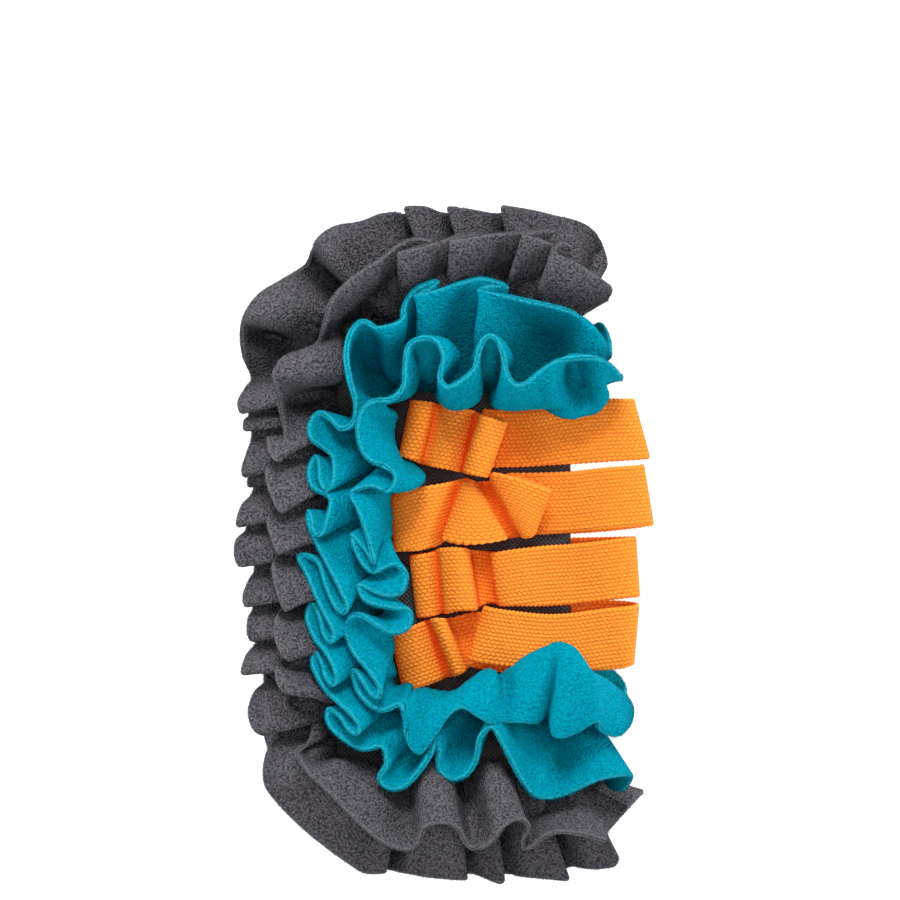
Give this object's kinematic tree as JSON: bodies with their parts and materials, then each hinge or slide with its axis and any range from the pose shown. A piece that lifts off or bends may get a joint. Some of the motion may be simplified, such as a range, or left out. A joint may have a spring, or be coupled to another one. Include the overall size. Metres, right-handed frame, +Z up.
{
  "type": "snuffle mat",
  "caption": "Square snuffle mat folded in half with its pleated fleece ruffles outside and looped webbing straps across the middle.",
  "frame": {"origin": "centre of the underside of the folded mat's box, on the surface it lies on", "axes": "+Z up from the surface, +Y along the fold towards the top of the picture, +X towards the fold"},
  "size_m": [0.1526, 0.2468, 0.0644],
  "materials": {
    "mesh_cloth": "matte",
    "grey_fleece": "matte",
    "teal_fleece": "matte",
    "webbing": "matte"
  },
  "bodies": {
    "root": {"base": "mesh_cloth", "grey_ruffle": "grey_fleece", "teal_ruffle": "teal_fleece", "strap_1": "webbing", "strap_2": "webbing", "strap_3": "webbing", "strap_4": "webbing"}
  },
  "joints": []
}
